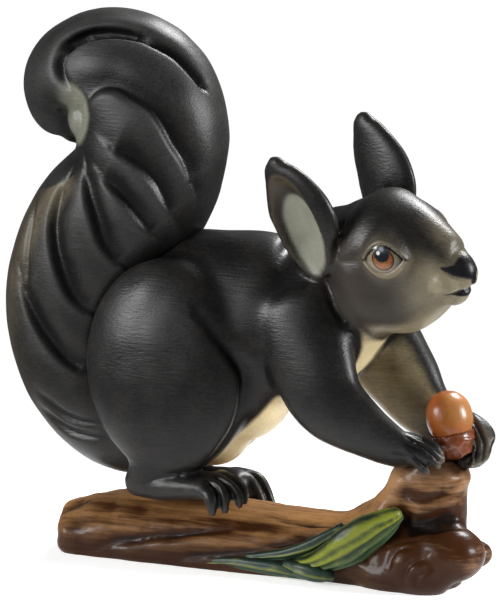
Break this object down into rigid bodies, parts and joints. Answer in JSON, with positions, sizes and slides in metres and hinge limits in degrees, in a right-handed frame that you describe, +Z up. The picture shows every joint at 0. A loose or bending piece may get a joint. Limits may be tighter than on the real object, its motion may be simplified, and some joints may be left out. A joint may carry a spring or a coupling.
{
  "type": "carved wooden squirrel figurine",
  "caption": "Carved and painted wooden squirrel standing on a log, its tail curled up behind, bending down to hold an acorn on a stump, with carved leaves at its side.",
  "frame": {"origin": "on the flat underside of the log, below the middle of the body", "axes": "+X the way the squirrel faces along the log, +Y its left side, +Z up"},
  "size_m": [0.1817, 0.0578, 0.189],
  "materials": {
    "painted_squirrel": "carved limewood painted charcoal, satin varnish",
    "painted_eye": "painted amber iris on a carved eye, gloss varnish",
    "stained_log": "carved limewood stained brown, satin varnish",
    "painted_leaf": "carved limewood painted green, satin varnish",
    "painted_nut": "carved limewood painted orange brown, satin varnish",
    "painted_cup": "carved limewood painted red brown, satin varnish"
  },
  "bodies": {
    "root": {"acorn_cup": "painted_cup", "acorn_nut": "painted_nut", "arm_left": "painted_squirrel", "arm_right": "painted_squirrel", "ear_left": "painted_squirrel", "ear_right": "painted_squirrel", "eye_left": "painted_eye", "eye_right": "painted_eye", "foot_left": "painted_squirrel", "foot_right": "painted_squirrel", "hand_left": "painted_squirrel", "hand_right": "painted_squirrel", "head": "painted_squirrel", "leaf_broad": "painted_leaf", "leaf_folded": "painted_leaf", "leaf_lower": "painted_leaf", "leaf_narrow": "painted_leaf", "log": "stained_log", "neck": "painted_squirrel", "tail_curl": "painted_squirrel", "tail_rise": "painted_squirrel", "tail_root": "painted_squirrel", "tail_tip": "painted_squirrel", "thigh_left": "painted_squirrel", "thigh_right": "painted_squirrel", "trunk": "painted_squirrel"}
  },
  "joints": []
}
